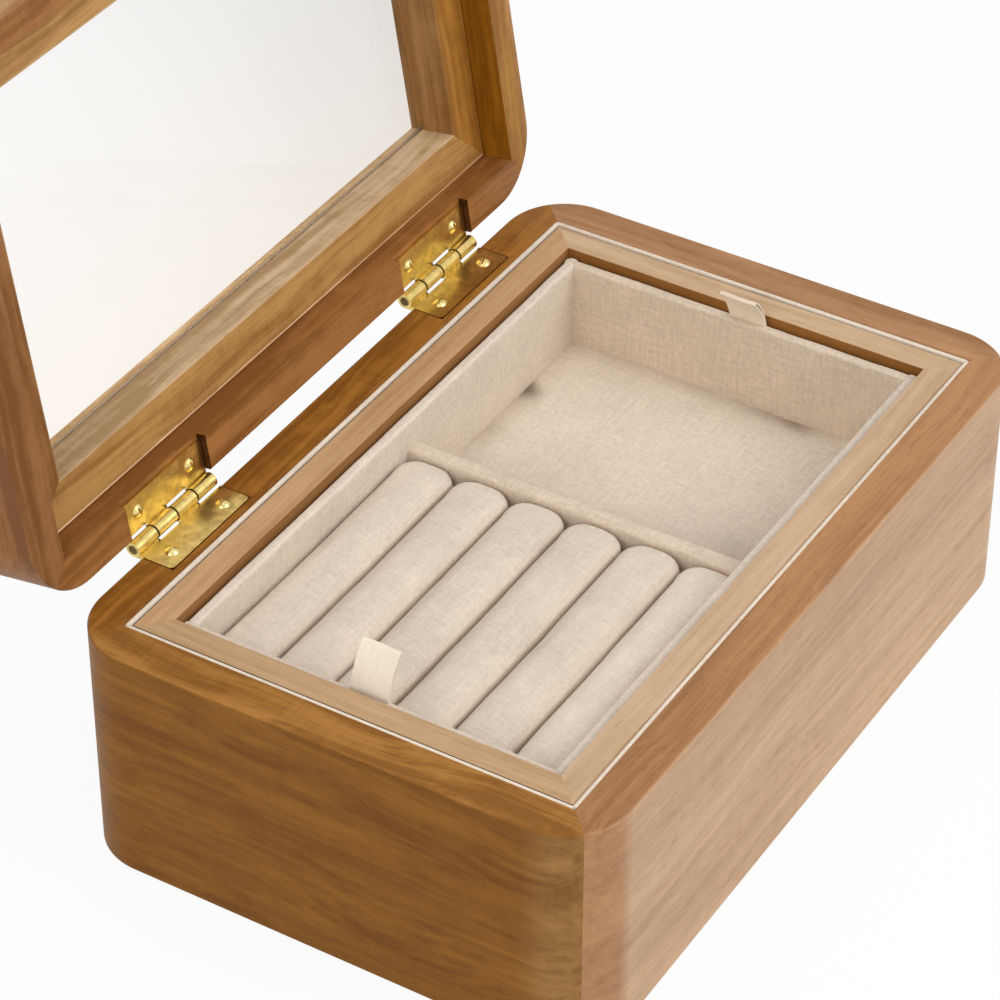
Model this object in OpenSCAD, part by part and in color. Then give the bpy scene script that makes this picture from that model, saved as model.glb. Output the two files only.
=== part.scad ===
// Ring display box with a hinged glass lid and a lift-out fabric tray.
// The origin is the centre of the underside. +X runs along the hinge side,
// +Y points to the hinges, +Z is up. The lid is drawn open, on its stop.

/* [Box body] */
// Outside length of the box, along the hinge side
box_l = 200; // [190:1:240]
// Outside width of the box, front to back
box_w = 131; // [125:1:170]
// Height of the box body from its underside to its rim
box_h = 60; // [56:1:90]
// Thickness of the four wooden walls
wall_t = 10; // [9:0.5:12]
// Radius of the upright corners, shared by box and lid
corner_r = 16; // [12:1:22]
// Width of the small bevel that eases the outer edges
edge_bevel = 0.5; // [0.2:0.1:1]
// Thickness of the base panel
base_t = 6; // [4:0.5:8]
// How far the base panel is let into each wall
base_rebate = 5; // [2:0.5:6]
// Play between the base panel and its rebate, on each side
base_gap = 0.1; // [0.05:0.05:0.3]

/* [Cavity lining] */
// Thickness of the fabric-covered lining boards on the walls
lining_t = 1.1; // [0.8:0.1:2]
// Thickness of the lining sheet on the floor
floor_lining_t = 1.2; // [0.8:0.1:2]

/* [Inner frame] */
// Width of the pale wooden frame strips, seen from above
frame_w = 6.85; // [5:0.05:9]
// Height of the frame strips
frame_h = 8; // [6:0.5:12]
// How far the top of the frame lies below the rim
frame_drop = 0.5; // [0.2:0.1:2]
// Width of the bevel that leaves a dark line beside the lining
frame_bevel = 0.4; // [0.2:0.1:0.8]

/* [Tray supports] */
// Width of the two battens that carry the tray
ledge_w = 13; // [9:0.5:18]
// Height of the battens
ledge_h = 6; // [4:0.5:8]

/* [Tray] */
// Play between the tray and the inner frame, on each side
tray_gap = 0.75; // [0.4:0.05:1.5]
// How far the top of the tray lies below the rim
tray_drop = 2.6; // [1:0.1:5]
// Height of the tray
tray_h = 26.3; // [22:0.1:32]
// Thickness of the tray walls with their fabric
tray_wall_t = 2.6; // [2:0.1:4]
// Thickness of the tray base
tray_base_t = 2; // [1.5:0.1:3]
// Distance from the middle of the box to the partition's near face
partition_x = 4.4; // [-10:0.1:20]
// Thickness of the partition
partition_t = 4.5; // [3:0.1:6]
// How far the partition's top lies below the tray's top
partition_drop = 7; // [3:0.1:10]
// Thickness of the pad in the open compartment
pad_t = 1.5; // [1:0.1:3]
// Play round the pad
pad_gap = 0.1; // [0.05:0.05:0.5]

/* [Ring rolls] */
// Number of ring rolls side by side
roll_count = 6; // [4:1:8]
// Gap between neighbouring rolls
roll_gap = 0.36; // [0.2:0.02:1]
// How far the rolls' crowns lie below the tray's top
roll_drop = 6.4; // [4:0.1:10]
// Gap between a roll's end and the wall or partition
roll_end_gap = 0.3; // [0.1:0.1:1]
// Length over which a roll's end rounds off
roll_end_round = 5; // [3:0.5:8]
// Size of a roll's end face against its middle
roll_end_scale = 0.62; // [0.5:0.01:0.9]
// How far each roll's sides draw in towards its base
roll_draw_in = 0.8; // [0.2:0.1:1.5]

/* [Pull tabs] */
// Width of the ribbon tabs
tab_w = 9.6; // [6:0.1:14]
// Thickness of the folded ribbon where it leaves the wall
tab_t = 0.8; // [0.5:0.05:1]
// Thickness of the ribbon loop near its fold
tab_loop_t = 1.5; // [1:0.1:3]
// Length of ribbon that stands above the tray
tab_l = 11.2; // [8:0.1:14]
// Depth of the ribbon's tail in the tray wall
tab_tail = 6; // [4:0.5:10]
// Lean of the tab where it leaves the wall, from upright
tab_lean_base = 14; // [0:1:25]
// Lean of the tab at its fold, from upright
tab_lean_tip = 46; // [20:1:60]
// Play between the tail and its slot, on each side
tab_gap = 0.05; // [0.02:0.01:0.1]
// Distance of the left tab from the outer face of its wall
tab_inset_left = 1.75; // [0.6:0.05:2]
// Distance of the right tab from the outer face of its wall
tab_inset_right = 0.8; // [0.6:0.05:2]
// Place of the left tab along its wall
tab_y_left = 0.3; // [-20:0.1:20]
// Place of the right tab along its wall
tab_y_right = -2.5; // [-20:0.1:20]

/* [Lid] */
// Height of the lid
lid_t = 20; // [19:0.5:30]
// Width of the lid's outer rails
rail_t = 9; // [8:0.5:12]
// Gap between the closed lid and the rim
seat_gap = 0.1; // [0.05:0.05:0.5]
// Depth of the recess in the underside of the lid
recess_d = 7.6; // [6.5:0.1:9]
// Width of the inner mouldings, seen from below
moulding_w = 11.75; // [8:0.25:16]
// Width of the bevel on the mouldings' lower outer edge
moulding_bevel = 0.6; // [0.2:0.1:1.2]
// Distance from the mouldings' lower face to the glass
glass_lip = 8.8; // [6:0.1:9.5]
// Thickness of the glass pane
glass_t = 1.8; // [1.5:0.1:2.2]
// How far the glass enters the mouldings on each side
glass_bite = 3.5; // [2:0.5:5]
// Play beyond the glass edge and above its face
glass_gap = 0.1; // [0.05:0.05:0.3]

/* [Hinges] */
// Angle between the closed lid and the lid on its stop
open_angle = 98.9; // [90:0.1:110]
// Distance of the pin's axis behind the rear wall
axis_out = 2.4; // [2.4:0.1:4]
// Height of the pin's axis above the rim
axis_up = 0.85; // [0.5:0.05:1.5]
// Distance of each hinge middle from its end of the box
hinge_inset = 45.2; // [35:0.1:60]
// Shift of the pair of hinges along the box
hinge_shift = 0.7; // [-5:0.1:5]
// Length of each hinge
leaf_l = 29.6; // [24:0.1:36]
// Width of a leaf from the pin's axis to its free edge
leaf_w = 10.4; // [9.8:0.1:11.2]
// Thickness of a leaf
leaf_t = 0.9; // [0.7:0.05:1.1]
// Radius of a leaf's free corners
leaf_corner = 1.2; // [0.5:0.1:2]
// Gap between a leaf's plate and the other leaf's knuckles
plate_gap = 0.6; // [0.2:0.05:0.9]
// Diameter of the barrel
barrel_d = 3.6; // [3.4:0.1:4.4]
// Diameter of the pin
pin_d = 1.8; // [1.2:0.1:2.2]
// Running clearance between pin and lid knuckles, on the radius
pin_clear = 0.05; // [0.02:0.01:0.1]
// Gap between neighbouring knuckles
knuckle_gap = 0.3; // [0.1:0.05:0.4]
// Diameter of the pin's rounded ends
pin_head_d = 2.6; // [2.3:0.1:3.2]
// Height of the pin's rounded ends
pin_head_h = 0.3; // [0.2:0.1:0.8]
// Play between a leaf and its mortise in the box
mortise_gap = 0.4; // [0.1:0.1:1]
// Play between a leaf and its mortise in the lid, at each end
lid_mortise_gap = 0.3; // [0.2:0.1:2]

/* [Screws] */
// Distance between the two screws of a leaf
screw_spacing = 19.5; // [12:0.5:21]
// Distance from the pin's axis to the screws
screw_reach = 6.6; // [5:0.1:8]
// Diameter of the screw shanks
screw_d = 2; // [1.6:0.1:2.4]
// Length of the screws under the head
screw_l = 7; // [5:0.5:10]
// Length of the screws' points
screw_tip = 1.2; // [0.6:0.1:2]
// Diameter of the rounded heads
head_d = 3.4; // [3:0.1:4.2]
// Height of the rounded heads
head_h = 0.9; // [0.6:0.1:1]
// Width of the slot in a head
slot_w = 0.6; // [0.4:0.05:0.8]
// Depth of the slot in a head
slot_d = 0.4; // [0.2:0.05:0.5]
// Play between a shank and its hole, on the radius
hole_gap = 0.05; // [0.02:0.01:0.2]
// Depth of a pilot hole beyond the screw's point
pilot_extra = 0.5; // [0.2:0.1:1]

/* [Hidden] */
$fn = 64;
// Reach of cutting shapes past the faces they cut
past = 1;
// Cavity between the walls
cavity_l = box_l - 2 * wall_t;
cavity_w = box_w - 2 * wall_t;
// Space inside the lining
lined_l = cavity_l - 2 * lining_t;
lined_w = cavity_w - 2 * lining_t;
// Opening of the inner frame
frame_l_in = lined_l - 2 * frame_w;
frame_w_in = lined_w - 2 * frame_w;
frame_z = box_h - frame_drop - frame_h;
// Tray, outside and inside
tray_l = frame_l_in - 2 * tray_gap;
tray_w = frame_w_in - 2 * tray_gap;
tray_l_in = tray_l - 2 * tray_wall_t;
tray_w_in = tray_w - 2 * tray_wall_t;
tray_top = box_h - tray_drop;
tray_z = tray_top - tray_h;
tray_floor = tray_z + tray_base_t;
// Rolls
roll_pitch = tray_w_in / roll_count;
roll_w = roll_pitch - roll_gap;
roll_x0 = -tray_l_in / 2 + roll_end_gap;
roll_x1 = partition_x - roll_end_gap;
roll_top = tray_top - roll_drop;
roll_mid = (roll_x0 + roll_x1) / 2;
// Places along a roll, as distances from its nearer end
roll_steps = [0, 0.08, 0.25, 0.5, 0.75, 1];
roll_body_steps = 3;
roll_points = 24;
// Steps along a tab and round its fold
tab_steps = 14;
fold_steps = 8;
// Lid
lid_z = box_h + seat_gap;
lid_l_in = box_l - 2 * rail_t;
lid_w_in = box_w - 2 * rail_t;
window_l = lid_l_in - 2 * moulding_w;
window_w = lid_w_in - 2 * moulding_w;
moulding_h = lid_t - recess_d;
glass_z = lid_z + recess_d + glass_lip;
// Hinges
hinge_y = box_w / 2 + axis_out;
hinge_z = box_h + axis_up;
barrel_r = barrel_d / 2;
hinge_left_x = hinge_shift - box_l / 2 + hinge_inset;
hinge_right_x = hinge_shift + box_l / 2 - hinge_inset;
knuckle_count = 4;
knuckle_l = (leaf_l - (knuckle_count - 1) * knuckle_gap) / knuckle_count;
knuckle_pitch = knuckle_l + knuckle_gap;
box_knuckles = [0, 2];
lid_knuckles = [1, 3];
plate_edge = barrel_r + plate_gap;

// Shared outlines

// Rectangle with rounded corners, centred
module rounded_rect(l, w, r) {
    square([l - 2 * r, w], center = true);
    square([l, w - 2 * r], center = true);
    for (sx = [-1, 1], sy = [-1, 1])
        translate([sx * (l / 2 - r), sy * (w / 2 - r)])
            circle(r);
}

// Plan of a mitred strip on the front side of a rectangle
module front_strip(l, w, t)
    polygon([
        [-l / 2, -w / 2], [l / 2, -w / 2],
        [l / 2 - t, -w / 2 + t], [-l / 2 + t, -w / 2 + t]
    ]);

// Plan of a mitred strip on the right side of a rectangle
module right_strip(l, w, t)
    polygon([
        [l / 2, -w / 2], [l / 2, w / 2],
        [l / 2 - t, w / 2 - t], [l / 2 - t, -w / 2 + t]
    ]);

// Plan of a mitred strip on any side of a rectangle
module strip_plan(side, l, w, t) {
    if (side == "front") front_strip(l, w, t);
    if (side == "rear") mirror([0, 1]) front_strip(l, w, t);
    if (side == "right") right_strip(l, w, t);
    if (side == "left") mirror([1, 0]) right_strip(l, w, t);
}

// Mitred strip of plain rectangular section
module strip(side, l, w, t, h)
    linear_extrude(h) strip_plan(side, l, w, t);

// Section that bevels an upper edge: the edge lies at the section's origin
module bevel_section(c)
    polygon([[-c - past, past], [past, -c - past], [past, past]]);

// Bevel cutters along the two long edges at a distance from the middle
module bevel_pair(len, off, c)
    for (m = [0, 1])
        mirror([0, m, 0])
            translate([-len / 2, off, 0])
                rotate([90, 0, 90])
                    linear_extrude(len) bevel_section(c);

// Bevel cutter round the upper edge of a rounded outline
module bevel_ring(l, w, r, c) {
    bevel_pair(l - 2 * r, w / 2, c);
    rotate([0, 0, 90]) bevel_pair(w - 2 * r, l / 2, c);
    for (mx = [0, 1], my = [0, 1])
        mirror([mx, 0, 0])
            mirror([0, my, 0])
                translate([l / 2 - r, w / 2 - r, 0])
                    rotate_extrude(angle = 90)
                        translate([r, 0]) bevel_section(c);
}

// One board of a rounded, mitred case with eased outer edges
module case_board(side, t, h)
    difference() {
        linear_extrude(h)
            intersection() {
                rounded_rect(box_l, box_w, corner_r);
                strip_plan(side, box_l, box_w, t);
            }
        translate([0, 0, h]) bevel_ring(box_l, box_w, corner_r, edge_bevel);
        mirror([0, 0, 1]) bevel_ring(box_l, box_w, corner_r, edge_bevel);
    }

// Block centred in plan, standing on its base
module block(l, w, h)
    translate([-l / 2, -w / 2, 0]) cube([l, w, h]);

// Hinge hardware

// Runs its children at both hinges
module at_hinges()
    for (x = [hinge_left_x, hinge_right_x])
        translate([x, hinge_y, hinge_z]) children();

// Runs its children at the two screws of a leaf, on the leaf's outer face
module at_screws(face_z)
    for (s = [-1, 1])
        translate([s * screw_spacing / 2, -screw_reach, face_z]) children();

// Flat of a leaf, with its two free corners rounded
module plate() {
    translate([-leaf_l / 2, -leaf_w + leaf_corner, 0])
        cube([leaf_l, leaf_w - leaf_corner - plate_edge, leaf_t]);
    translate([-leaf_l / 2 + leaf_corner, -leaf_w, 0])
        cube([leaf_l - 2 * leaf_corner, 2 * leaf_corner, leaf_t]);
    for (s = [-1, 1])
        translate([s * (leaf_l / 2 - leaf_corner), -leaf_w + leaf_corner, 0])
            cylinder(h = leaf_t, r = leaf_corner);
}

// Leaf of the box side, about the pin's axis, with its own knuckles
module leaf(knuckles, bore_r)
    difference() {
        union() {
            translate([0, 0, -barrel_r]) plate();
            for (k = knuckles)
                translate([-leaf_l / 2 + k * knuckle_pitch, 0, 0]) {
                    rotate([0, 90, 0]) cylinder(h = knuckle_l, r = barrel_r);
                    translate([0, -plate_edge - plate_gap, -barrel_r])
                        cube([knuckle_l, plate_edge + plate_gap, leaf_t]);
                }
        }
        translate([-leaf_l / 2 - past, 0, 0])
            rotate([0, 90, 0]) cylinder(h = leaf_l + 2 * past, r = bore_r);
        at_screws(-barrel_r - past)
            cylinder(h = leaf_t + 2 * past, r = screw_d / 2 + hole_gap);
    }

// Low dome with a flat base
module dome(d, h) {
    ball_r = (h * h + d * d / 4) / (2 * h);
    intersection() {
        cylinder(h = h, d = d);
        translate([0, 0, h - ball_r]) sphere(ball_r);
    }
}

// Slotted screw with a rounded head, pointing down, head base at z = 0
module screw(turn)
    difference() {
        union() {
            dome(head_d, head_h);
            translate([0, 0, -screw_l + screw_tip])
                cylinder(h = screw_l - screw_tip + head_h / 2, d = screw_d);
            translate([0, 0, -screw_l])
                cylinder(h = screw_tip, d1 = screw_d / 4, d2 = screw_d);
        }
        rotate([0, 0, turn])
            translate([-head_d, -slot_w / 2, head_h - slot_d])
                cube([2 * head_d, slot_w, slot_d + past]);
    }

// Pilot hole for a screw, from the face it enters
module pilot()
    translate([0, 0, -screw_l - pilot_extra])
        cylinder(h = screw_l + pilot_extra + past, r = screw_d / 2 + hole_gap);

// Pin with a rounded end on each side, held in the box knuckles
module pin() {
    translate([-leaf_l / 2 - pin_head_h / 4, 0, 0])
        rotate([0, 90, 0])
            cylinder(h = leaf_l + knuckle_gap + pin_head_h / 2, d = pin_d);
    translate([-leaf_l / 2, 0, 0])
        rotate([0, -90, 0]) dome(pin_head_d, pin_head_h);
    translate([leaf_l / 2 + knuckle_gap, 0, 0])
        rotate([0, 90, 0]) dome(pin_head_d, pin_head_h);
}

// Box body

// Rear wall mortises and pilot holes for the box leaves
module box_mortises()
    at_hinges() {
        translate([-leaf_l / 2 - mortise_gap, -leaf_w - mortise_gap, -barrel_r])
            cube([leaf_l + 2 * mortise_gap, leaf_w + past, barrel_d]);
        at_screws(-barrel_r + leaf_t) pilot();
    }

module wall_board(side)
    difference() {
        case_board(side, wall_t, box_h);
        translate([0, 0, -past])
            block(cavity_l + 2 * base_rebate, cavity_w + 2 * base_rebate, base_t + past);
    }

module wall_front() color("burlywood") wall_board("front");

module wall_rear()
    color("peru")
        difference() {
            wall_board("rear");
            box_mortises();
        }

module wall_left() color("peru") wall_board("left");

module wall_right() color("peru") wall_board("right");

module base_panel()
    color("burlywood")
        block(
            cavity_l + 2 * (base_rebate - base_gap),
            cavity_w + 2 * (base_rebate - base_gap),
            base_t
        );

module lining_board(side)
    translate([0, 0, base_t])
        strip(side, cavity_l, cavity_w, lining_t, box_h - base_t);

module lining_front() color("linen") lining_board("front");

module lining_rear() color("linen") lining_board("rear");

module lining_left() color("linen") lining_board("left");

module lining_right() color("linen") lining_board("right");

module floor_lining()
    color("linen")
        translate([0, 0, base_t]) block(lined_l, lined_w, floor_lining_t);

// Inner frame strip, bevelled beside the lining
module frame_strip(side)
    translate([0, 0, frame_z])
        difference() {
            strip(side, lined_l, lined_w, frame_w, frame_h);
            translate([0, 0, frame_h]) {
                bevel_pair(lined_l + 2 * past, lined_w / 2, frame_bevel);
                rotate([0, 0, 90])
                    bevel_pair(lined_w + 2 * past, lined_l / 2, frame_bevel);
            }
        }

module frame_front() color("tan") frame_strip("front");

module frame_rear() color("tan") frame_strip("rear");

module frame_left() color("tan") frame_strip("left");

module frame_right() color("tan") frame_strip("right");

// Batten under the right-hand end of the tray
module ledge()
    translate([lined_l / 2 - ledge_w, -lined_w / 2, tray_z - ledge_h])
        cube([ledge_w, lined_w, ledge_h]);

module ledge_left() color("tan") mirror([1, 0, 0]) ledge();

module ledge_right() color("tan") ledge();

module box_leaf() leaf(box_knuckles, pin_d / 2);

module box_leaf_left()
    color("goldenrod")
        translate([hinge_left_x, hinge_y, hinge_z]) box_leaf();

module box_leaf_right()
    color("goldenrod")
        translate([hinge_right_x, hinge_y, hinge_z]) box_leaf();

module hinge_pin_left()
    color("gold")
        translate([hinge_left_x, hinge_y, hinge_z]) pin();

module hinge_pin_right()
    color("gold")
        translate([hinge_right_x, hinge_y, hinge_z]) pin();

module box_leaf_screws()
    color("gold")
        at_hinges() at_screws(-barrel_r + leaf_t) screw(20);

// Lid

// Turns the closed lid back to its stop
module opened()
    translate([0, hinge_y, hinge_z])
        rotate([-open_angle, 0, 0])
            translate([0, -hinge_y, -hinge_z]) children();

// Rear rail mortises and pilot holes for the lid leaves
module lid_mortises()
    at_hinges() {
        translate([
            -leaf_l / 2 - lid_mortise_gap,
            -axis_out - rail_t - past,
            -barrel_r
        ])
            cube([leaf_l + 2 * lid_mortise_gap, axis_out + rail_t + 2 * past, barrel_d]);
        mirror([0, 0, 1]) at_screws(-barrel_r + leaf_t) pilot();
    }

module lid_rail(side)
    translate([0, 0, lid_z]) case_board(side, rail_t, lid_t);

module lid_rail_front() color("sienna") opened() lid_rail("front");

module lid_rail_rear()
    color("sienna")
        opened()
            difference() {
                lid_rail("rear");
                lid_mortises();
            }

module lid_rail_left() color("sienna") opened() lid_rail("left");

module lid_rail_right() color("sienna") opened() lid_rail("right");

// Inner moulding with a groove for the glass
module lid_moulding(side)
    difference() {
        translate([0, 0, lid_z + recess_d])
            strip(side, lid_l_in, lid_w_in, moulding_w, moulding_h);
        translate([0, 0, glass_z])
            block(
                window_l + 2 * (glass_bite + glass_gap),
                window_w + 2 * (glass_bite + glass_gap),
                glass_t + glass_gap
            );
        translate([0, 0, lid_z + recess_d])
            mirror([0, 0, 1]) {
                bevel_pair(lid_l_in + 2 * past, lid_w_in / 2, moulding_bevel);
                rotate([0, 0, 90])
                    bevel_pair(lid_w_in + 2 * past, lid_l_in / 2, moulding_bevel);
            }
    }

module lid_moulding_front() color("peru") opened() lid_moulding("front");

module lid_moulding_rear() color("peru") opened() lid_moulding("rear");

module lid_moulding_left() color("peru") opened() lid_moulding("left");

module lid_moulding_right() color("peru") opened() lid_moulding("right");

module glass_pane()
    color("aliceblue", 0.4)
        opened()
            translate([0, 0, glass_z])
                block(window_l + 2 * glass_bite, window_w + 2 * glass_bite, glass_t);

module lid_leaf() mirror([0, 0, 1]) leaf(lid_knuckles, pin_d / 2 + pin_clear);

module lid_leaf_left()
    color("goldenrod")
        opened() translate([hinge_left_x, hinge_y, hinge_z]) lid_leaf();

module lid_leaf_right()
    color("goldenrod")
        opened() translate([hinge_right_x, hinge_y, hinge_z]) lid_leaf();

module lid_leaf_screws()
    color("gold")
        opened()
            at_hinges()
                mirror([0, 0, 1]) at_screws(-barrel_r + leaf_t) screw(75);

// Tray

module tray_base()
    color("linen")
        translate([0, 0, tray_z]) block(tray_l, tray_w, tray_base_t);

module tray_wall(side)
    translate([0, 0, tray_floor])
        strip(side, tray_l, tray_w, tray_wall_t, tray_h - tray_base_t);

// Slot for a tab's tail, about the middle of the tail's lower edge
module tab_slot()
    translate([-tab_t / 2 - tab_gap, -tab_w / 2 - tab_gap, 0])
        cube([tab_t + 2 * tab_gap, tab_w + 2 * tab_gap, tab_tail + past]);

// Places of the tails' lower edges
tab_left_at = [-tray_l / 2 + tab_inset_left, tab_y_left, tray_top - tab_tail];
tab_right_at = [tray_l / 2 - tab_inset_right, tab_y_right, tray_top - tab_tail];

module tray_wall_front() color("antiquewhite") tray_wall("front");

module tray_wall_rear() color("antiquewhite") tray_wall("rear");

module tray_wall_left()
    color("antiquewhite")
        difference() {
            tray_wall("left");
            translate(tab_left_at) tab_slot();
        }

module tray_wall_right()
    color("antiquewhite")
        difference() {
            tray_wall("right");
            translate(tab_right_at) tab_slot();
        }

module tray_partition()
    color("antiquewhite") {
        top_r = partition_t / 2;
        h = tray_top - partition_drop - tray_floor - top_r;
        translate([partition_x, -tray_w_in / 2, tray_floor])
            cube([partition_t, tray_w_in, h]);
        translate([partition_x + top_r, tray_w_in / 2, tray_floor + h])
            rotate([90, 0, 0]) cylinder(h = tray_w_in, r = top_r);
    }

module compartment_pad() {
    x0 = partition_x + partition_t + pad_gap;
    x1 = tray_l_in / 2 - pad_gap;
    color("antiquewhite")
        translate([x0, -tray_w_in / 2 + pad_gap, tray_floor])
            cube([x1 - x0, tray_w_in - 2 * pad_gap, pad_t]);
}

// Ring roll

// Size of a roll's section against its middle, a share u along its end
function roll_share(u) =
    roll_end_scale + (1 - roll_end_scale) * sqrt(1 - (1 - u) * (1 - u));

// Stations along a roll: each is its place along X and its section's share
roll_stations = concat(
    [for (u = roll_steps) [roll_x0 + u * roll_end_round, roll_share(u)]],
    [for (k = [1 : roll_body_steps - 1])
        [roll_x0 + roll_end_round
            + k * (roll_x1 - roll_x0 - 2 * roll_end_round) / roll_body_steps, 1]],
    [for (k = [len(roll_steps) - 1 : -1 : 0])
        [roll_x1 - roll_steps[k] * roll_end_round, roll_share(roll_steps[k])]]
);

// Signed power, for the squared lower half of the section
function spow(v, e) = sign(v) * pow(abs(v), e);

// One point of the section: a round crown over drawn-in, nearly flat sides
function roll_point(x, share, a) =
    let (
        half = roll_w / 2 * share,
        top = tray_floor + (roll_top - tray_floor) * (0.45 + 0.55 * share),
        waist = top - half,
        y = a <= 180 ? half * cos(a)
            : (half - roll_draw_in * share * -sin(a)) * spow(cos(a), 0.35),
        z = a <= 180 ? waist + half * sin(a)
            : waist - (waist - tray_floor) * spow(-sin(a), 0.35)
    )
    [x, y, z];

// Cushion-like roll that runs along X, about the middle of its own width
module ring_roll_body() {
    n = roll_points;
    m = len(roll_stations);
    points = [
        for (s = roll_stations, i = [0 : n - 1])
            roll_point(s[0], s[1], 360 * i / n)
    ];
    sides = [
        for (j = [0 : m - 2], i = [0 : n - 1])
            each [
                [j * n + i, j * n + (i + 1) % n, (j + 1) * n + (i + 1) % n],
                [j * n + i, (j + 1) * n + (i + 1) % n, (j + 1) * n + i]
            ]
    ];
    near_end = [for (i = [1 : n - 2]) [0, i + 1, i]];
    far_end = [
        for (i = [1 : n - 2])
            [(m - 1) * n, (m - 1) * n + i, (m - 1) * n + i + 1]
    ];
    polyhedron(points, concat(sides, near_end, far_end), convexity = 4);
}

// Roll by its number, counted from the rear wall of the tray
module ring_roll(number)
    color("oldlace")
        translate([0, tray_w_in / 2 - roll_pitch * (number - 0.5), 0])
            ring_roll_body();

module ring_roll_1() ring_roll(1);

module ring_roll_2() ring_roll(2);

module ring_roll_3() ring_roll(3);

module ring_roll_4() ring_roll(4);

module ring_roll_5() ring_roll(5);

module ring_roll_6() ring_roll(6);

// Pull tab

// Lean of the ribbon a share s along its free length
function tab_lean(s) = tab_lean_base + (tab_lean_tip - tab_lean_base) * s;

// Place of the ribbon's middle line after k steps above the wall
function tab_line(k) =
    k == 0 ? [0, tab_tail]
    : tab_line(k - 1)
        + tab_l / tab_steps
            * [sin(tab_lean((k - 0.5) / tab_steps)), cos(tab_lean((k - 0.5) / tab_steps))];

// Half the ribbon's thickness a share s along its free length
function tab_half(s) = (tab_t + (tab_loop_t - tab_t) * s) / 2;

// Point on one face of the ribbon, side 1 or -1
function tab_face(k, side) =
    let (a = tab_lean(k / tab_steps), h = side * tab_half(k / tab_steps))
    tab_line(k) + h * [cos(a), -sin(a)];

// Folded ribbon that leans towards +X, about the middle of its tail's lower edge
module tab_body() {
    tip = tab_line(tab_steps);
    r = tab_half(1);
    outline = concat(
        [[tab_t / 2, 0]],
        [for (k = [0 : tab_steps]) tab_face(k, 1)],
        [for (k = [1 : fold_steps - 1])
            tip + r * [
                cos(tab_lean_tip - 180 * k / fold_steps),
                -sin(tab_lean_tip - 180 * k / fold_steps)
            ]],
        [for (k = [tab_steps : -1 : 0]) tab_face(k, -1)],
        [[-tab_t / 2, 0]]
    );
    translate([0, tab_w / 2, 0])
        rotate([90, 0, 0])
            linear_extrude(tab_w) polygon(outline);
}

module pull_tab_left()
    color("ivory") translate(tab_left_at) tab_body();

module pull_tab_right()
    color("ivory") translate(tab_right_at) mirror([1, 0, 0]) tab_body();

wall_front();
wall_rear();
wall_left();
wall_right();
base_panel();
floor_lining();
lining_front();
lining_rear();
lining_left();
lining_right();
frame_front();
frame_rear();
frame_left();
frame_right();
ledge_left();
ledge_right();
box_leaf_left();
box_leaf_right();
hinge_pin_left();
hinge_pin_right();
box_leaf_screws();
lid_rail_front();
lid_rail_rear();
lid_rail_left();
lid_rail_right();
lid_moulding_front();
lid_moulding_rear();
lid_moulding_left();
lid_moulding_right();
glass_pane();
lid_leaf_left();
lid_leaf_right();
lid_leaf_screws();
tray_base();
tray_wall_front();
tray_wall_rear();
tray_wall_left();
tray_wall_right();
tray_partition();
compartment_pad();
ring_roll_1();
ring_roll_2();
ring_roll_3();
ring_roll_4();
ring_roll_5();
ring_roll_6();
pull_tab_left();
pull_tab_right();
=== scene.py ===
import math

import bpy
from mathutils import Matrix, Vector


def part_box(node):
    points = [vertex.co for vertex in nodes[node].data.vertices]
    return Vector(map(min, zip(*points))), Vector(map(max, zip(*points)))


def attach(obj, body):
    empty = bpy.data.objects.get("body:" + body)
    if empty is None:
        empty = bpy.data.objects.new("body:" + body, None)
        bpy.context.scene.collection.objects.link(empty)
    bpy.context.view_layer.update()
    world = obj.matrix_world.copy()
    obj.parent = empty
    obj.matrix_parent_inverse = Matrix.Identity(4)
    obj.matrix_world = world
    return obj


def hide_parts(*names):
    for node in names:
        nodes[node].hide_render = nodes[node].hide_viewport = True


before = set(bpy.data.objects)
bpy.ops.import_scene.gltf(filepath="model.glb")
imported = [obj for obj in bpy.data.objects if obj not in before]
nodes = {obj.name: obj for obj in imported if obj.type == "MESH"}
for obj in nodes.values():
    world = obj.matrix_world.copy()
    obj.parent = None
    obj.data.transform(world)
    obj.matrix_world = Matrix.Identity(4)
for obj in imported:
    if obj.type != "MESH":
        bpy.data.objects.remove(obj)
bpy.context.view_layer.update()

opening = math.radians(98.9)


# ---- Camera ----
# The box is seen from above its front left corner with a long lens, so its
# edges run almost parallel, and the open lid and two corners leave the picture.

view_line = Vector((0.67482187, 0.40945038, -0.61397543)).normalized()
picture_right = Vector((0.51973324, -0.85432728, 0.00150288)).normalized()
picture_up = picture_right.cross(view_line).normalized()
bpy.ops.object.select_all(action="DESELECT")
bpy.ops.object.camera_add(location=(-0.60248, -0.34874, 0.59773))
camera = bpy.context.object
camera.name = "camera"
camera.rotation_euler = Matrix(
    (picture_right, picture_up, -view_line)).transposed().to_euler()
camera.data.lens = 143.1
camera.data.sensor_width = 36
camera.data.clip_start, camera.data.clip_end = 0.01, 50
bpy.context.scene.camera = camera
bpy.context.scene.view_settings.view_transform = "Standard"


# ---- Floor, backdrop and lamps ----
# A seamless white sweep under plain soft light: a wide lamp beyond the front
# side, weaker ones to the left and overhead, and even light from all round.

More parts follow.
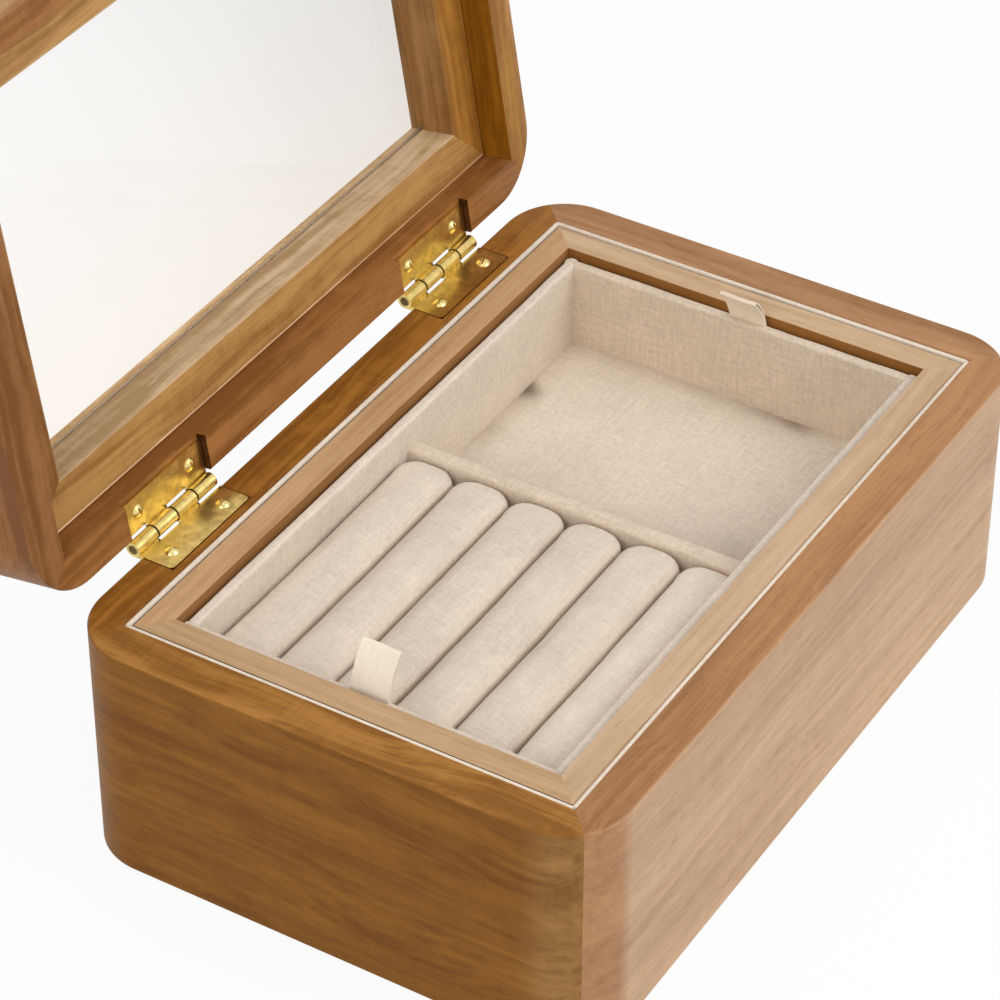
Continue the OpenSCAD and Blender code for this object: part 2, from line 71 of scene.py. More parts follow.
class Socket:
    """One output of a shader node, so that sums on it read as sums."""

    def __init__(self, tree, output):
        self.tree, self.output = tree, output

    def maths(self, operation, *values):
        made = self.tree.nodes.new("ShaderNodeMath")
        made.operation = operation
        for place, value in zip(made.inputs, values):
            if isinstance(value, Socket):
                self.tree.links.new(value.output, place)
            else:
                place.default_value = value
        return Socket(self.tree, made.outputs[0])

    def __add__(self, other): return self.maths("ADD", self, other)
    def __radd__(self, other): return self.maths("ADD", other, self)
    def __sub__(self, other): return self.maths("SUBTRACT", self, other)
    def __rsub__(self, other): return self.maths("SUBTRACT", other, self)
    def __mul__(self, other): return self.maths("MULTIPLY", self, other)
    def __rmul__(self, other): return self.maths("MULTIPLY", other, self)
    def __truediv__(self, other): return self.maths("DIVIDE", self, other)
    def __pow__(self, other): return self.maths("POWER", self, other)
    def __mod__(self, other): return self.maths("FLOORED_MODULO", self, other)
    def least(self, other): return self.maths("MINIMUM", self, other)
    def most(self, other): return self.maths("MAXIMUM", self, other)
    def size(self): return self.maths("ABSOLUTE", self)
    def whole(self): return self.maths("FLOOR", self)
    def sine(self): return self.maths("SINE", self)
    def ramp(self, low, high):
        """0 below low, 1 above high, and smooth between them."""
        made = self.tree.nodes.new("ShaderNodeMapRange")
        made.interpolation_type = "SMOOTHSTEP"
        self.tree.links.new(self.output, made.inputs["Value"])
        made.inputs["From Min"].default_value = low
        made.inputs["From Max"].default_value = high
        return Socket(self.tree, made.outputs["Result"])


class Finish:
    """A material in the making: its node tree, and one way to add a node."""

    def __init__(self, name, **constants):
        self.material = bpy.data.materials.new(name)
        self.material.use_nodes = True
        self.tree = self.material.node_tree
        self.skin = self.tree.nodes["Principled BSDF"]
        for word, value in constants.items():
            self.skin.inputs[word.replace("_", " ")].default_value = value

    def node(self, kind, settings=None, inputs=None, out=0):
        made = self.tree.nodes.new(kind)
        for word, value in (settings or {}).items():
            if word == "stops":
                ramp = made.color_ramp
                while len(ramp.elements) < len(value):
                    ramp.elements.new(0.5)
                for stop, (place, colour) in zip(ramp.elements, value):
                    stop.position, stop.color = place, (*colour[:3], 1)
            else:
                setattr(made, word, value)
        for word, value in (inputs or {}).items():
            self.feed(made.inputs[word], value)
        return Socket(self.tree, made.outputs[out])

    def feed(self, place, value):
        if isinstance(value, Socket):
            self.tree.links.new(value.output, place)
        else:
            place.default_value = value

    def set(self, **inputs):
        for word, value in inputs.items():
            self.feed(self.skin.inputs[word.replace("_", " ")], value)

    def noise(self, place, scale, detail, roughness=0.5):
        return self.node("ShaderNodeTexNoise", None, {
            "Vector": place, "Scale": scale, "Detail": detail,
            "Roughness": roughness})

    def split(self, place):
        """The three numbers of a place, each as a Socket."""
        made = self.tree.nodes.new("ShaderNodeSeparateXYZ")
        self.tree.links.new(place.output, made.inputs[0])
        return [Socket(self.tree, output) for output in made.outputs]

    def stretch(self, place, x, y, z):
        return self.node("ShaderNodeVectorMath", {"operation": "MULTIPLY"},
                         {0: place, 1: (x, y, z)})

    def mix(self, factor, first, second, how="MIX"):
        return self.node("ShaderNodeMix", {"data_type": "RGBA", "blend_type": how},
                         {0: factor, 6: first, 7: second}, out=2)

    def shade(self, colour, factor):
        """The colour times a number that may be above 1."""
        return self.node("ShaderNodeVectorMath", {"operation": "SCALE"},
                         {0: colour, 3: factor})

    def bump(self, height, strength, distance):
        return self.node("ShaderNodeBump", None, {
            "Height": height, "Strength": strength, "Distance": distance})


def paint(red, green, blue):
    """A colour as it looks on a screen, from 0 to 255, in the shader's terms."""
    def plain(c):
        c /= 255
        return c / 12.92 if c <= 0.04045 else ((c + 0.055) / 1.055) ** 2.4
    return (plain(red), plain(green), plain(blue), 1.0)


def seen_directly(tree):
    """1 for rays from the camera, in reflections and through glass."""
    rays = tree.nodes.new("ShaderNodeLightPath")
    return Socket(tree, rays.outputs["Is Camera Ray"]).most(
        Socket(tree, rays.outputs["Is Glossy Ray"])).most(
        Socket(tree, rays.outputs["Is Transmission Ray"]))


sweep = Finish("white_sweep")
sweep.set(Base_Color=paint(238, 238, 237), Roughness=0.9)
sweep.skin.inputs["Specular IOR Level"].default_value = 0.1
seen = seen_directly(sweep.tree)
white = sweep.node("ShaderNodeEmission", None,
                   {"Color": (1, 1, 1, 1), "Strength": 1.0})
surface = sweep.node("ShaderNodeMixShader", None, {
    0: seen * 0.92, 1: Socket(sweep.tree, sweep.skin.outputs[0]), 2: white})
sweep.feed(sweep.tree.nodes["Material Output"].inputs["Surface"], surface)

bpy.ops.object.select_all(action="DESELECT")
bpy.ops.mesh.primitive_plane_add(size=12, location=(0, 0, -0.0002))
floor = bpy.context.object
floor.name = "floor"
floor.data.materials.append(sweep.material)

world = bpy.data.worlds.new("studio")
world.use_nodes = True
bpy.context.scene.world = world
air = world.node_tree
seen = seen_directly(air)
ambient = 0.57
air.nodes["Background"].inputs["Color"].default_value = (1, 1, 1, 1)
air.links.new((ambient + seen * (1 - ambient)).output,
              air.nodes["Background"].inputs["Strength"])

for name, place, size, power in (
        ("key_lamp", (0.35, -1.1, 0.95), (1.0, 0.8), 9.4),
        ("side_lamp", (-1.15, -0.1, 0.75), (0.9, 0.6), 6.4),
        ("top_lamp", (-0.1, 0.1, 1.5), (0.9, 0.9), 3.0)):
    bpy.ops.object.light_add(type="AREA", location=place)
    lamp = bpy.context.object
    lamp.name = name
    lamp.rotation_euler = (Vector((0, 0, 0.05)) - Vector(place)).to_track_quat(
        "-Z", "Y").to_euler()
    lamp.data.shape = "RECTANGLE"
    lamp.data.size, lamp.data.size_y = size
    lamp.data.energy = power


# ---- Case walls ----
# Four solid hardwood boards, mitred at rounded corners, sanded smooth and
# oiled. The grain runs round the box, and each board has its own tone. The
# front board's pale face is painted sheen, and the left board's lighter top
# and front end are painted light.

def wood(name, tone, turn, shift, layers=(), figure=1.0, sway=5.0, mottle=0.5,
         ior=1.25, satin=0.46, fine=1.0, bold=None):
    """Oiled hardwood whose grain runs along x once the board is turned.

    Each layer is a tone and a rule that says where on the board it shows. The
    rule for bold says where the figure is stronger."""
    f = Finish(name, IOR=ior)
    place = f.node("ShaderNodeTexCoord", out=3)
    board = f.node("ShaderNodeMapping", None, {"Vector": place, "Rotation": turn})
    spot = f.split(board)
    tone = f.mix(0.0, paint(*tone), paint(*tone))
    for other, where in layers:
        tone = f.mix(where(*spot), tone, paint(*other))
    mm = f.node("ShaderNodeMapping", None, {
        "Vector": board, "Scale": (1000, 1000, 1000), "Location": shift})
    x, y, z = f.split(mm)
    bend = ((f.noise(f.stretch(mm, 1 / 70, 1 / 32, 1 / 32), 1, 1) - 0.5) * sway * 2
            + (f.noise(f.stretch(mm, 1 / 26, 1 / 12, 1 / 12), 1, 1) - 0.5) * sway * 0.5)
    grain = f.node("ShaderNodeCombineXYZ", None,
                   {0: x, 1: y + bend, 2: z + bend * 0.7})
    bands = f.noise(f.stretch(grain, 1 / 120, 1 / 10, 1 / 10), 1, 3, 0.55)
    streaks = f.noise(f.stretch(grain, 1 / 80, 1 / 2.2, 1 / 2.2), 1, 3, 0.55)
    fibre = f.noise(f.stretch(grain, 1 / 26, 1 / 0.45, 1 / 0.45), 1, 2)
    patches = f.noise(f.stretch(mm, 1 / 7, 1 / 5, 1 / 5), 1, 3)
    cross = f.noise(f.stretch(mm, 1 / 0.9, 1 / 18, 1 / 18), 1, 2)
    pores = f.noise(f.stretch(grain, 1 / 7, 1 / 0.4, 1 / 0.4), 1, 1).ramp(0.6, 0.74)
    contrast = (bands - 0.5) * 2.0 * figure + (streaks - 0.5) * 1.9 * figure \
        + (fibre - 0.5) * 0.6 * fine + (cross - 0.5) * 0.3 * figure \
        + (patches - 0.5) * mottle - pores * 0.28 * fine
    if bold:
        contrast = contrast * (1 + bold(*spot) * 0.8)
    depth = contrast + 0.5
    darker = f.node("ShaderNodeVectorMath", {"operation": "MULTIPLY"},
                    {0: tone, 1: (0.75, 0.68, 0.54)})
    lighter = f.node("ShaderNodeVectorMath", {"operation": "MULTIPLY"},
                     {0: tone, 1: (1.22, 1.28, 1.36)})
    f.set(Base_Color=f.mix(depth, darker, lighter),
          Roughness=satin + (streaks - 0.5) * 0.16 + pores * 0.2,
          Normal=f.bump(fibre * 0.6 + streaks * 0.5 - pores, 0.16, 0.00012))
    return f.material


def dress(material, *names):
    for name in names:
        skin = nodes[name].data
        skin.materials.clear()
        skin.materials.append(material)


def rim(x, y, z): return z.ramp(0.0595, 0.0599)


# The front board's pale face tone is painted sheen. The face is paler still towards the
# bottom, and its rounded near corner and its top are darker.
dress(wood("wall_front_wood", (180, 142, 106), (0, 0, 0), (3, 40, 7),
           (((188, 149, 112), lambda x, y, z: 1 - z.ramp(0.008, 0.045)),
            ((164, 117, 75), lambda x, y, z: 1 - x.ramp(-0.088, -0.083)),
            ((158, 109, 63), rim)), figure=0.6, sway=4,
           mottle=0.3, ior=1.5, fine=1.1, bold=rim), "wall_front")
dress(wood("wall_rear_wood", (142, 94, 48), (0, 0, 0), (90, -14, 61),
           (((142, 91, 32), rim),), figure=1.1, mottle=1.0, bold=rim),
      "wall_rear")
# The left board's lighter front end, at the rounded corner, is painted sheen, and its
# top is painted lighter than its face, as light falls from above.
dress(wood("wall_left_wood", (124, 79, 24), (0, 0, -math.pi / 2), (21, 5, 33),
           (((138, 100, 54), lambda x, y, z: 1 - x.ramp(-0.056, -0.047)),
            ((150, 102, 48), rim)), figure=1.05, sway=11,
           mottle=0.6, ior=1.2, fine=0.6, bold=rim), "wall_left")
dress(wood("wall_right_wood", (170, 126, 88), (0, 0, -math.pi / 2), (-60, 8, 90),
           (((164, 120, 83), rim),), figure=0.9, mottle=0.6), "wall_right")


# ---- Base panel and tray battens ----
# A plain plywood panel let into a rebate under the walls, and two strips
# glued inside the short walls that the lift-out tray stands on.

dress(wood("base_wood", (186, 146, 106), (0, 0, 0), (11, 71, 2)), "base_panel")
dress(wood("batten_wood", (196, 152, 110), (0, 0, -math.pi / 2), (1, 9, 5)),
      "ledge_left", "ledge_right")


# ---- Cloth lining ----
# Card strips and a floor sheet covered in cream cloth, glued inside the
# walls. Their top edge shows as a thin pale line all round the rim.

def board(name, low, high, corner, rows=3, along="xyz", cuts=0):
    """A flat box from low to high, its edges along the named axes rounded."""
    bpy.ops.object.select_all(action="DESELECT")
    bpy.ops.mesh.primitive_cube_add(size=1)
    made = bpy.context.object
    made.name = made.data.name = name
    bpy.ops.object.mode_set(mode="EDIT")
    bpy.context.tool_settings.mesh_select_mode = (False, True, False)
    bpy.ops.mesh.select_all(action="SELECT")
    bpy.ops.transform.resize(value=[b - a for a, b in zip(low, high)])
    bpy.ops.transform.translate(value=[(a + b) / 2 for a, b in zip(low, high)])
    bpy.ops.mesh.select_all(action="DESELECT")
    bpy.ops.object.mode_set(mode="OBJECT")
    corners = made.data.vertices
    for edge in made.data.edges:
        line = corners[edge.vertices[1]].co - corners[edge.vertices[0]].co
        edge.select = "xyz"[max(range(3), key=lambda k: abs(line[k]))] in along
    bpy.ops.object.mode_set(mode="EDIT")
    bpy.ops.mesh.bevel(offset=corner, segments=rows, profile=0.5,
                       affect="EDGES", clamp_overlap=True)
    if cuts:
        bpy.ops.mesh.select_all(action="SELECT")
        bpy.ops.mesh.subdivide(number_cuts=cuts)
    bpy.ops.object.mode_set(mode="OBJECT")
    bpy.ops.object.shade_smooth_by_angle(angle=math.radians(40))
    return made


def lay_cloth(made):
    """A UV map in metres, laid on each side of the piece without stretch."""
    bpy.ops.object.select_all(action="DESELECT")
    made.select_set(True)
    bpy.context.view_layer.objects.active = made
    bpy.ops.object.mode_set(mode="EDIT")
    bpy.ops.mesh.select_all(action="SELECT")
    bpy.ops.uv.cube_project(cube_size=1.0, correct_aspect=False,
                            clip_to_bounds=False, scale_to_bounds=False)
    bpy.ops.object.mode_set(mode="OBJECT")


def weave(name, light, dark, thread, slub=0.5, relief=0.00008, fuzz=0.15,
          blotch=0.10, crease_shade=None):
    """Plain woven cloth: threads over and under, uneven in tone and width."""
    f = Finish(name, Roughness=0.95, Sheen_Weight=fuzz, Sheen_Roughness=0.5)
    f.skin.inputs["Specular IOR Level"].default_value = 0.15
    flat = f.node("ShaderNodeUVMap")
    mm = f.stretch(flat, 1000, 1000, 1000)
    wander = f.noise(f.stretch(mm, 1 / 6, 1 / 6, 1), 1, 2)
    u, v = f.split(mm)[:2]
    across = u / thread + (wander - 0.5) * 1.6
    down = v / thread + (wander - 0.5) * 1.3
    over = ((across.whole() + down.whole()) % 2)
    warp = ((across * math.pi).sine()).size()
    weft = ((down * math.pi).sine()).size()
    height = warp * over + weft * (1 - over)
    lengthwise = f.noise(f.stretch(mm, 1 / 0.8, 1 / 7, 1), 1, 2)
    crosswise = f.noise(f.stretch(mm, 1 / 7, 1 / 0.8, 1), 1, 2)
    patches = f.noise(f.stretch(mm, 1 / 17, 1 / 17, 1), 1, 3)
    nap = f.noise(f.stretch(mm, 1 / 1.2, 1 / 1.2, 1), 1, 3, 0.6)
    specks = f.noise(f.stretch(mm, 1 / 0.6, 1 / 0.6, 1), 1, 1).ramp(0.68, 0.8)
    colour = f.mix((height * 0.55 + nap * 1.0 - 0.27), dark, light)
    tone = (1 + (lengthwise - 0.5) * slub * 0.5 + (crosswise - 0.5) * slub * 0.5
            + (patches - 0.5) * blotch * 2.6 - specks * 0.12)
    colour = f.shade(colour, tone)
    # Painted shade: the cloth turns darker brown towards the crease where it meets its
    # neighbour.
    if crease_shade:
        colour = f.mix(v.size().ramp(*crease_shade) * 0.55, colour, paint(150, 122, 90))
    f.set(Base_Color=colour,
          Normal=f.bump(height + lengthwise * slub + crosswise * slub + nap,
                        0.6, relief))
    return f.material


cream = weave("lining_cloth", paint(238, 224, 206), paint(206, 188, 166), 0.32,
              slub=0.3, relief=0.00005)
for name in ("lining_front", "lining_rear", "lining_left", "lining_right",
             "floor_lining"):
    low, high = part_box(name)
    strip = board("cream_" + name, low, high, 0.00045)
    lay_cloth(strip)
    strip.data.materials.append(cream)
    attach(strip, "box")
    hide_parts(name)


# ---- Inner frame ----
# Four pale mitred strips a little below the rim, glued to the lining. They
# leave the opening that the tray lifts out through.

def strip_top(x, y, z): return z.ramp(0.0592, 0.05945)


# Each strip's sides are painted dark as the shade under its top. The thin dark line
# along its outer top edge is a painted shadow of a gap against the lining, kept pale on
# the front strip.
for side, tone, shaded_side, gap_shadow, turn, shift, reach in (
        ("front", (192, 161, 130), (140, 92, 43), (186, 156, 126), 0, (5, 33, 12),
         0.0544),
        ("rear", (187, 149, 110), (150, 106, 62), (60, 40, 22), 0, (80, 3, 44),
         0.0544),
        ("left", (184, 150, 115), (140, 92, 43), (36, 22, 12), -math.pi / 2,
         (8, 3, 44), 0.0889),
        ("right", (193, 161, 128), (140, 92, 43), (60, 40, 22), -math.pi / 2,
         (61, 24, 4), 0.0889)):
    dress(wood("frame_wood_" + side, shaded_side, (0, 0, turn), shift,
               ((tone, strip_top), (gap_shadow, lambda x, y, z: y.size().ramp(
                   reach - 0.0005, reach - 0.0004))),
               figure=0.6, sway=3, mottle=0.3, satin=0.55, fine=0.8),
          "frame_" + side)


# ---- Hinges ----
# Two small butt hinges of polished brass, each with two leaves let flush into
# the wood, four knuckles on a pin with domed ends, and slotted screws.

hinge_y, hinge_z = 0.0679, 0.06085
left_hinge, right_hinge = -0.0541, 0.0555
knuckle = 7.475


def brass(name, tint, roughness):
    f = Finish(name, Metallic=1.0)
    place = f.node("ShaderNodeTexCoord", out=3)
    mm = f.node("ShaderNodeMapping", None, {
        "Vector": place, "Scale": (1000, 1000, 1000)})
    waves = f.noise(mm, 0.16, 1)
    smudge = f.noise(mm, 0.45, 3, 0.6)
    scratch = f.noise(f.stretch(mm, 0.4, 4, 4), 1, 2)
    x, y, z = f.split(mm)
    from_pin = ((y - hinge_y * 1000) ** 2 + (z - hinge_z * 1000) ** 2) ** 0.5
    along = (x - left_hinge * 1000).size().least((x - right_hinge * 1000).size())
    from_joint = along.least((along - knuckle).size())
    # Darker where the knuckles meet, as grime in the joints, and over the pin's domed
    # ends, which is painted shade.
    joint_grime_and_end_shade = (1 - from_joint.ramp(0.2, 0.5)).most(along.ramp(14.8, 14.95)) * (
        1 - from_pin.ramp(1.85, 2.1))
    clean = f.mix(smudge.ramp(0.3, 0.7), paint(*tint),
                  tuple(c * 0.72 for c in paint(*tint)[:3]) + (1,))
    f.set(Base_Color=f.mix(joint_grime_and_end_shade * 0.85, clean, paint(74, 54, 26)),
          Roughness=roughness + (smudge - 0.5) * 0.12 + (scratch - 0.5) * 0.05
          + joint_grime_and_end_shade * 0.3,
          Normal=f.bump(waves + smudge * 0.12 + scratch * 0.01, 0.35, 0.0008))
    return f.material


plate_brass = brass("hinge_brass", (236, 208, 130), 0.24)
pin_brass = brass("pin_brass", (238, 212, 140), 0.24)
dress(plate_brass, "box_leaf_left", "box_leaf_right", "lid_leaf_left",
      "lid_leaf_right")
dress(pin_brass, "hinge_pin_left", "hinge_pin_right", "box_leaf_screws",
      "lid_leaf_screws")


# ---- Lid rails ----
# The lid's outer frame: four rails of the same hardwood, mitred at rounded
# corners that match the box, with the hinge leaves let into the rear one.

fall = hinge_y * math.sin(opening) + hinge_z * math.cos(opening) - hinge_z
across_window = hinge_y * math.cos(opening) - hinge_z * math.sin(opening) - hinge_y


def shaded_pocket_ends(x, y, z):
    """Painted shade at the ends of the hinge leaves' two pockets."""
    lowest = 0.0601 + fall
    near = (x - left_hinge).size().least((x - right_hinge).size())
    ends = 1 - (near - 0.0151).size().ramp(0.00004, 0.00007)
    return (ends * z.ramp(lowest + 0.00005, lowest + 0.0001)
            * (1 - z.ramp(lowest + 0.0026, lowest + 0.0027)))


# The front rail's outer face is painted pale as sheen, like the front board. The right
# rail is painted darker as shade on its inner side, and is lighter towards its outer
# edge.
for side, tone, turn, shift, layers in (
        ("front", (149, 99, 54), 0, (17, 9, 71),
         (((178, 138, 101), lambda x, y, z: 1 - (y - across_window).ramp(
             -0.0654, -0.062)),)),
        ("rear", (149, 99, 52), 0, (57, 39, 11), (((70, 38, 16), shaded_pocket_ends),)),
        ("left", (131, 87, 49), -math.pi / 2, (2, 66, 19), ()),
        ("right", (156, 109, 46), -math.pi / 2, (30, 6, 49),
         (((146, 93, 20), lambda x, y, z: 1 - y.size().ramp(0.0911, 0.0913)),
          ((168, 123, 80), lambda x, y, z: 1 - y.ramp(-0.0998, -0.0965))))):
    dress(wood("lid_wood_" + side, tone, (opening, 0, turn), shift, layers,
               figure=1.5, sway=6, mottle=1.1), "lid_rail_" + side)


# ---- Lid mouldings ----
# A second frame inside the rails, set back from their lower edge. It carries
# the glass in a groove, and its inner edges stand square round the window.

glass_back = 0.0783 + fall
window_half_length, window_half_width = 0.07925, 0.04475


def edge_highlight(x, y, z):
    """The rear moulding's outer edge, painted pale as a highlight."""
    return (y - across_window).ramp(0.0554, 0.0555)


# The rear moulding's pale window edge, in front of the glass and behind it, is painted
# sheen.
for side, tone, edge, behind, turn, shift in (
        ("front", (172, 128, 75), (180, 145, 104), (180, 145, 104), 0, (44, 21, 3)),
        ("rear", (171, 127, 72), (193, 161, 125), (198, 167, 130), 0, (4, 71, 30)),
        ("left", (142, 96, 54), (156, 114, 70), (156, 114, 70), -math.pi / 2,
         (9, 31, 50)),
        ("right", (155, 105, 42), (150, 108, 62), (154, 114, 72), -math.pi / 2,
         (90, 3, 15))):
    middle, half = ((0, window_half_length) if turn
                    else (across_window, window_half_width))

    def window_edge(x, y, z):
        return 1 - (y - middle).size().ramp(half + 0.0003, half + 0.0006)

    def past_glass(x, y, z):
        return window_edge(x, y, z) * z.ramp(glass_back, glass_back + 0.0001)

    layers = ((edge, window_edge), (behind, past_glass))
    # The rear moulding also gets a painted highlight along its outer edge.
    if side == "rear":
        layers += (((228, 190, 150), edge_highlight),)
    dress(wood("moulding_wood_" + side, tone, (opening, 0, turn), shift, layers,
               figure=1.4, mottle=1.1), "lid_moulding_" + side)


# ---- Glass ----
# One clear pane with ground edges in the mouldings' groove, its edge there
# drawn as pale putty that glows, painted light against the groove's shade.
# The pane's colour is painted shade and reflection, greyer towards its far
# upper end and warmer low down.

glass = Finish("clear_glass", Roughness=0.02, IOR=1.14, Transmission_Weight=1.0)
place = glass.node("ShaderNodeTexCoord", out=3)
board_place = glass.node("ShaderNodeMapping", None, {
    "Vector": place, "Rotation": (opening, 0, 0)})
x, y, z = glass.split(place)
across = glass.split(board_place)[1] - across_window
cloud = glass.noise(place, 12, 1)
# Painted shade and reflection: greyer towards the pane's far upper end, and warmer low
# down.
painted_grey_gradient = glass.node("ShaderNodeValToRGB", {"stops": [
    (0.05, paint(255, 255, 255)), (0.5, paint(247, 247, 247)),
    (1.0, paint(230, 230, 230))]},
    {"Fac": x * 6.25 + z * 4.0 + 0.06 + (cloud - 0.5) * 0.15})
tint = glass.mix(z.ramp(0.06, 0.18), (1, 0.945, 0.875, 1), (1, 0.995, 0.98, 1))
glass.set(Base_Color=glass.mix(1.0, painted_grey_gradient, tint, "MULTIPLY"))
# The pane's edge inside the groove is drawn as pale putty that glows: painted light
# that lifts the shade in the groove.
glowing_bedding = glass.tree.nodes.new("ShaderNodeBsdfPrincipled")
rear_side = across.ramp(0.0440, 0.0447)
glass.feed(glowing_bedding.inputs["Base Color"],
           glass.mix(rear_side, paint(150, 108, 64), paint(172, 150, 124)))
glass.feed(glowing_bedding.inputs["Emission Color"],
           glass.mix(rear_side, paint(108, 76, 42), paint(40, 36, 30)))
glowing_bedding.inputs["Roughness"].default_value = 0.9
glowing_bedding.inputs["Emission Strength"].default_value = 1.0
in_groove = (x.size() - window_half_length).most(
    across.size() - window_half_width).ramp(0.0, 0.0001)
glass.feed(glass.tree.nodes["Material Output"].inputs["Surface"],
           glass.node("ShaderNodeMixShader", None, {
               0: in_groove, 1: Socket(glass.tree, glass.skin.outputs[0]),
               2: Socket(glass.tree, glowing_bedding.outputs[0])}))
dress(glass.material, "glass_pane")
nodes["glass_pane"].visible_shadow = False


# ---- Tray ----
# A lift-out tray of thin board wrapped in oatmeal linen. Each side is wrapped
# on its own and glued at the corners, so the wraps meet in a fine seam.

def roughen(made, size, height):
    """Slight hand-made unevenness, pressed into the mesh."""
    bpy.ops.object.select_all(action="DESELECT")
    made.select_set(True)
    bpy.context.view_layer.objects.active = made
    uneven = bpy.data.textures.new("lumps", "CLOUDS")
    uneven.noise_scale = size
    lumps = made.modifiers.new("lumps", "DISPLACE")
    lumps.texture, lumps.texture_coords = uneven, "LOCAL"
    lumps.mid_level, lumps.strength = 0.5, height
    bpy.ops.object.modifier_apply(modifier="lumps")


linen = weave("tray_linen", paint(237, 222, 205), paint(202, 185, 165), 0.42,
              slub=0.45)
# A darker copy of the linen, painted shade, for the right wall and the partition.
shaded_linen = weave("tray_linen_shaded", paint(228, 210, 190), paint(192, 173, 151),
                   0.42, slub=0.6)
for name, corner, along, lengthen, cloth in (
        ("tray_base", 0.0005, "xy", (0, 0, 0), linen),
        ("tray_wall_front", 0.0008, "x", (0, 0, 0), linen),
        ("tray_wall_rear", 0.0008, "x", (0, 0, 0), linen),
        ("tray_wall_left", 0.0008, "y", (0, 0, 0), linen),
        ("tray_wall_right", 0.0008, "y", (0, 0, 0), shaded_linen),
        ("tray_partition", 0.0015, "y", (0, 0.0006, 0), shaded_linen)):
    low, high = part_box(name)
    reach = Vector(lengthen)
    wrapped = board("linen_" + name, low - reach, high + reach, corner, 4,
                    along, 14)
    lay_cloth(wrapped)
    roughen(wrapped, 0.011, 0.0005)
    wrapped.data.materials.append(cloth)
    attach(wrapped, "tray")
    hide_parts(name)


# ---- Compartment pad ----
# Thin padding under linen, tucked down at its edges, on the floor of the
# open compartment.

low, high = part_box("compartment_pad")
reach = Vector((0.0003, 0.0003, 0))
pad = board("linen_compartment_pad", low - reach, high + reach, 0.00025, 2,
            "xyz", 12)
lay_cloth(pad)
middle, half = (low + high) / 2, (high - low) / 2
for v in pad.data.vertices:
    if v.co.z > middle.z:
        u, w = (v.co.x - middle.x) / half.x, (v.co.y - middle.y) / half.y
        v.co.z += 0.0006 * max(0, 1 - u ** 4) * max(0, 1 - w ** 4)
roughen(pad, 0.016, 0.0005)
pad.data.materials.append(linen)
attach(pad, "tray")
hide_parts("compartment_pad")


# ---- Ring rolls ----
# Six foam rolls covered in linen, side by side across the tray. Rings are
# pushed into the dark slots between them. Their ends are tucked round.

roll_linen = weave("roll_linen", paint(228, 214, 197), paint(200, 184, 165),
                   0.42, slub=0.45, crease_shade=(8.8, 10.6))
# A lighter copy of the roll linen, painted light, for the front roll that lies in the
# front wall's shade.
lit_roll_linen = weave("roll_linen_lit", paint(238, 224, 207), paint(210, 194, 175),
                    0.42, slub=0.45, crease_shade=(8.8, 10.6))
most_swell, side_room = 0.0006, 0.00017
for number in range(1, 7):
    name = f"ring_roll_{number}"
    low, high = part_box(name)
    slack = Vector((0.0003, 0.0, 0.0006))
    roll = board("linen_" + name, low + slack, high - slack, 0.0056, 7, "z")
    for edge in roll.data.edges:
        ends = [roll.data.vertices[i].co.z for i in edge.vertices]
        edge.select = abs(ends[0] - ends[1]) < 1e-6
    bpy.ops.object.mode_set(mode="EDIT")
    bpy.ops.mesh.bevel(offset=0.0029, segments=6, profile=0.5, affect="EDGES",
                       clamp_overlap=False)
    bpy.ops.object.mode_set(mode="OBJECT")
    knit = roll.modifiers.new("knit", "REMESH")
    knit.mode, knit.voxel_size = "VOXEL", 0.001
    bpy.ops.object.modifier_apply(modifier="knit")
    start = [v.co.copy() for v in roll.data.vertices]
    filling = roll.modifiers.new("filling", "CLOTH")
    filling.settings.use_pressure = True
    filling.settings.uniform_pressure_force = 4
    filling.settings.effector_weights.gravity = 0
    for moment in range(1, 21):
        bpy.context.scene.frame_set(moment)
    bpy.ops.object.modifier_apply(modifier="filling")
    bpy.context.scene.frame_set(1)
    for v, before in zip(roll.data.vertices, start):
        move = v.co - before
        if move.length > most_swell:
            move *= most_swell / move.length
        v.co = before + move
    roughen(roll, 0.014, 0.0003)
    for v in roll.data.vertices:
        v.co.y = min(max(v.co.y, low.y - side_room), high.y + side_room)
    soften = roll.modifiers.new("soften", "SUBSURF")
    soften.levels = soften.render_levels = 1
    bpy.ops.object.modifier_apply(modifier="soften")
    bpy.ops.object.shade_smooth()
    centre_y = (low.y + high.y) / 2
    flat = roll.data.uv_layers.new(name="cloth")
    for loop in roll.data.loops:
        p = roll.data.vertices[loop.vertex_index].co
        flat.data[loop.index].uv = (
            p.x + number * 0.03,
            p.y - centre_y + math.copysign(high.z - p.z, p.y - centre_y))
    roll.data.materials.append(roll_linen if number < 6 else lit_roll_linen)
    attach(roll, "tray")
    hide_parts(name)


# ---- Pull tabs ----
# A short loop of ivory ribbon at each end of the tray, its two ends glued
# between the board and the linen. They are gripped to lift the tray out.

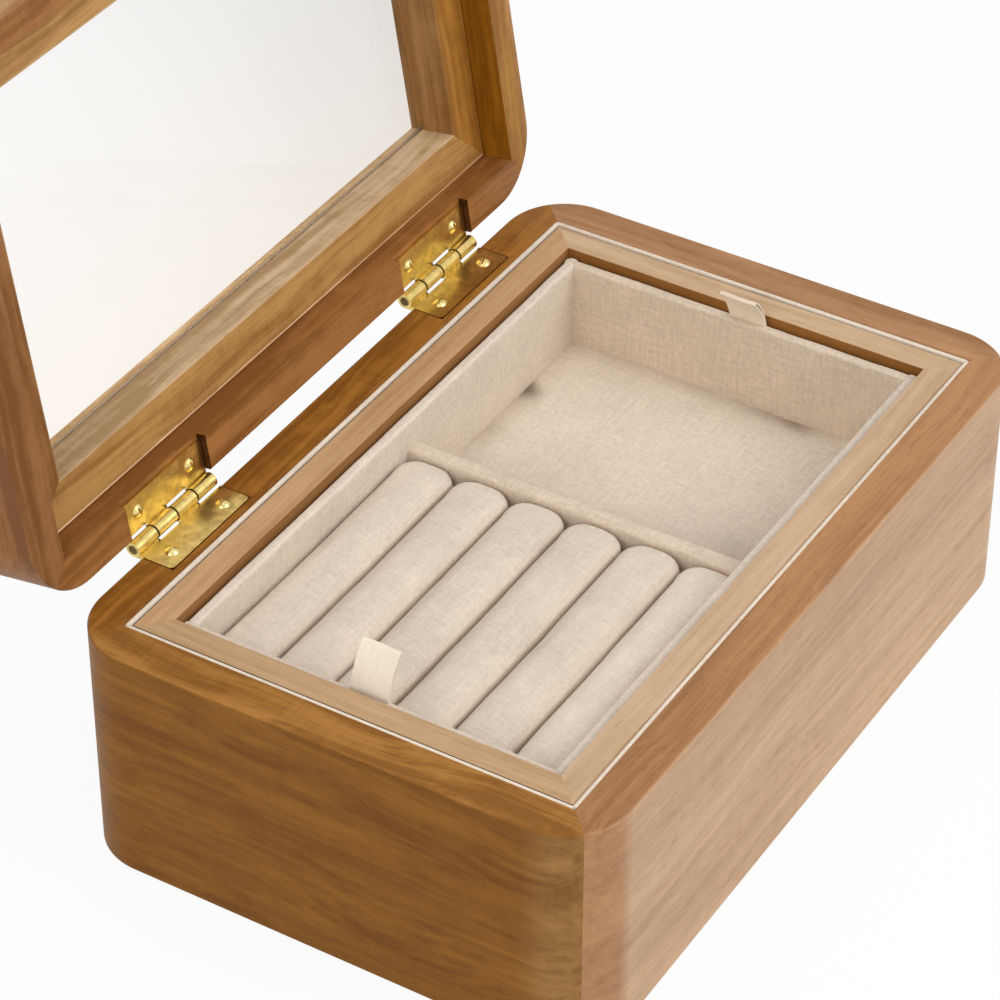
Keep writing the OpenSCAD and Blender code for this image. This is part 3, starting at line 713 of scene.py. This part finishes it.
ribbon = weave("ivory_ribbon", paint(243, 230, 211), paint(230, 215, 192), 0.3,
               slub=0.2, relief=0.00004, fuzz=0.1, blotch=0.05)
steps, step_length, tail = 14, 0.0008, 0.006
first_lean, curl = 14, 32
for side, at, towards in (("left", (-0.07955, 0.0003, 0.0514), 1),
                          ("right", (0.0805, -0.0025, 0.0514), -1)):
    middle, turned = [(0.0, 0.0), (0.0, tail)], [0.0, math.radians(first_lean)]
    for step in range(steps):
        lean = math.radians(first_lean + curl * (step + 0.5) / steps)
        middle.append((middle[-1][0] + step_length * math.sin(lean),
                       middle[-1][1] + step_length * math.cos(lean)))
        turned.append(math.radians(first_lean + curl * (step + 1) / steps))
    layers = [[], []]
    for step, ((px, pz), lean) in enumerate(zip(middle, turned)):
        apart = 0.00017 + 0.00016 * max(0, (step - 1) / steps) ** 1.5
        for layer, way in zip(layers, (1, -1)):
            layer.append(Vector((px + way * apart * math.cos(lean),
                                 pz - way * apart * math.sin(lean))))
    (px, pz), lean = middle[-1], turned[-1]
    fold = [Vector((px + apart * math.cos(lean - a), pz - apart * math.sin(lean - a)))
            for a in (math.pi * k / 9 for k in range(1, 9))]
    line = layers[0] + fold + layers[1][::-1]
    passed = [0.0]
    for a, b in zip(line, line[1:]):
        passed.append(passed[-1] + (b - a).length)
    bpy.ops.object.select_all(action="DESELECT")
    bpy.ops.mesh.primitive_grid_add(x_subdivisions=72, y_subdivisions=8, size=1)
    tab = bpy.context.object
    tab.name = tab.data.name = "ribbon_" + side
    for loop in tab.data.loops:
        uv = tab.data.uv_layers[0].data[loop.index].uv
        uv.x, uv.y = uv.x * passed[-1], uv.y * 0.0096
    for v in tab.data.vertices:
        along, across = (v.co.x + 0.5) * passed[-1], v.co.y
        k = max(i for i, d in enumerate(passed[:-1]) if d <= along + 1e-9)
        share = min(1, (along - passed[k]) / (passed[k + 1] - passed[k]))
        p = line[k].lerp(line[k + 1], share)
        bow = 0.00012 * math.sin(across * 5 + along * 400)
        v.co = Vector((at[0] + towards * (p.x + bow * (p.y > 0.007)),
                       at[1] + across * 0.0095 * towards, at[2] + p.y))
    thick = tab.modifiers.new("thick", "SOLIDIFY")
    thick.thickness, thick.offset = 0.0003, 0
    bpy.ops.object.modifier_apply(modifier="thick")
    bpy.ops.object.mode_set(mode="EDIT")
    bpy.ops.mesh.select_all(action="SELECT")
    bpy.ops.mesh.normals_make_consistent(inside=False)
    bpy.ops.object.mode_set(mode="OBJECT")
    bpy.ops.object.shade_smooth_by_angle(angle=math.radians(50))
    tab.data.materials.append(ribbon)
    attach(tab, "tray")
    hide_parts("pull_tab_" + side)
